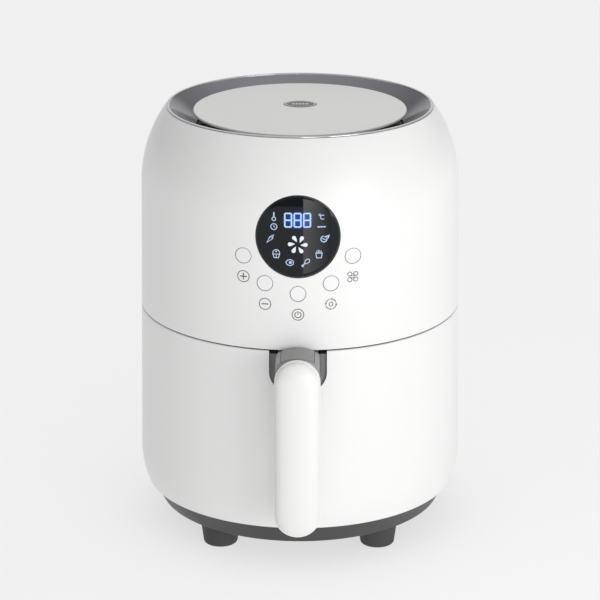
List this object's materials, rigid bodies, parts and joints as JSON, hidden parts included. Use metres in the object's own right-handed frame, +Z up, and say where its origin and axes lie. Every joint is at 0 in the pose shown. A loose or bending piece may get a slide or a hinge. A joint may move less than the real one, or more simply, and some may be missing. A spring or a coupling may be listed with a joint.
{
  "type": "air fryer",
  "caption": "Round countertop air fryer with a slide-out drawer, a perforated basket on a long upright handle, a round digital display with push buttons and a dished top.",
  "frame": {"origin": "middle of the object's bounding box in X and Y, at the underside of the feet", "axes": "+Z up, the drawer and handle face -Y, +X is to the right when the front is seen"},
  "size_m": [0.254, 0.3026, 0.3368],
  "materials": {
    "white_gloss": "glossy injection-moulded white",
    "white_satin": "satin white",
    "white_button": "satin white caps",
    "dark_metal": "dark satin metal finish",
    "emblem_grey": "satin grey",
    "display_glass": "polished black",
    "dark_trim": "dark trim",
    "black_plastic": "fine-textured black",
    "base_grey": "fine-textured dark grey",
    "bracket_grey": "satin grey",
    "button_grey": "satin grey",
    "foot_rubber": "dark grey rubber",
    "bumper_rubber": "silicone",
    "circuit_board": "green solder mask",
    "lamination_steel": "stacked sheet steel",
    "copper_wire": "enamelled copper",
    "zinc_steel": "zinc-plated",
    "bare_aluminium": "rolled sheet",
    "element_steel": "heat-dulled sheathed element",
    "ceramic_white": "unglazed white",
    "galvanised_sheet": "galvanised sheet",
    "nonstick_coating": "dark non-stick coating on sheet steel"
  },
  "bodies": {
    "housing": {"upper_housing": "white_gloss", "rear_housing": "white_gloss", "mid_frame": "black_plastic", "top_ring": "dark_metal", "top_cover": "white_satin", "emblem_plate": "emblem_grey", "intake_grille": "black_plastic", "display_window": "display_glass", "display_frame": "dark_trim", "led_module": "black_plastic", "control_board": "circuit_board", "tact_switches": "black_plastic", "power_board": "circuit_board", "board_components": "black_plastic", "motor_plate": "black_plastic", "motor_stator": "lamination_steel", "motor_coil": "copper_wire", "motor_brackets": "zinc_steel", "heat_reflector": "bare_aluminium", "heating_element": "element_steel", "heater_insulators": "ceramic_white", "heater_guard": "zinc_steel", "thermal_cutout": "black_plastic", "temperature_probe": "zinc_steel", "drawer_switch": "black_plastic", "cavity_liner": "galvanised_sheet", "floor_plate": "black_plastic", "drawer_rails": "black_plastic", "base_tray": "base_grey", "foot_front_left": "foot_rubber", "foot_front_right": "foot_rubber", "foot_rear_left": "foot_rubber", "foot_rear_right": "foot_rubber", "base_screws": "zinc_steel", "exhaust_grille": "black_plastic", "cord_gland": "black_plastic"},
    "drawer": {"drawer_front": "white_gloss", "drawer_inner_panel": "black_plastic", "notch_insert": "bracket_grey", "pan": "nonstick_coating", "pan_screws": "zinc_steel", "basket": "nonstick_coating", "basket_bumpers": "bumper_rubber", "handle_bracket": "bracket_grey", "handle_grip_front": "white_satin", "handle_grip_rear": "white_satin", "handle_screws": "zinc_steel", "release_spring": "zinc_steel"},
    "fan_rotor": {"motor_rotor": "zinc_steel", "motor_shaft": "zinc_steel", "cooling_fan": "black_plastic", "convection_fan": "bare_aluminium", "fan_nut": "zinc_steel"},
    "plus_button_cap": {"plus_button": "white_button"},
    "minus_button_cap": {"minus_button": "white_button"},
    "power_button_cap": {"power_button": "white_button"},
    "mode_button_cap": {"mode_button": "white_button"},
    "menu_button_cap": {"menu_button": "white_button"},
    "release_key": {"release_button": "button_grey"}
  },
  "joints": [
    {"name": "drawer_slide", "type": "slide", "parent": "housing", "child": "drawer", "axis": [0, -1, 0], "range_m": [0, 0.24]},
    {"name": "fan_spin", "type": "hinge", "parent": "housing", "child": "fan_rotor", "pos_m": [0, 0.02123, 0.24], "axis": [0, 0, 1], "continuous": true},
    {"name": "plus_button_press", "type": "slide", "parent": "housing", "child": "plus_button_cap", "axis": [0, 1, 0], "range_m": [0, 0.0008], "stiffness_N_per_m": 1500},
    {"name": "minus_button_press", "type": "slide", "parent": "housing", "child": "minus_button_cap", "axis": [0, 1, 0], "range_m": [0, 0.0008], "stiffness_N_per_m": 1500},
    {"name": "power_button_press", "type": "slide", "parent": "housing", "child": "power_button_cap", "axis": [0, 1, 0], "range_m": [0, 0.0008], "stiffness_N_per_m": 1500},
    {"name": "mode_button_press", "type": "slide", "parent": "housing", "child": "mode_button_cap", "axis": [0, 1, 0], "range_m": [0, 0.0008], "stiffness_N_per_m": 1500},
    {"name": "menu_button_press", "type": "slide", "parent": "housing", "child": "menu_button_cap", "axis": [0, 1, 0], "range_m": [0, 0.0008], "stiffness_N_per_m": 1500},
    {"name": "release_press", "type": "slide", "parent": "drawer", "child": "release_key", "axis": [0, 0, -1], "range_m": [0, 0.002], "stiffness_N_per_m": 800, "deforming": ["release_spring"]}
  ]
}
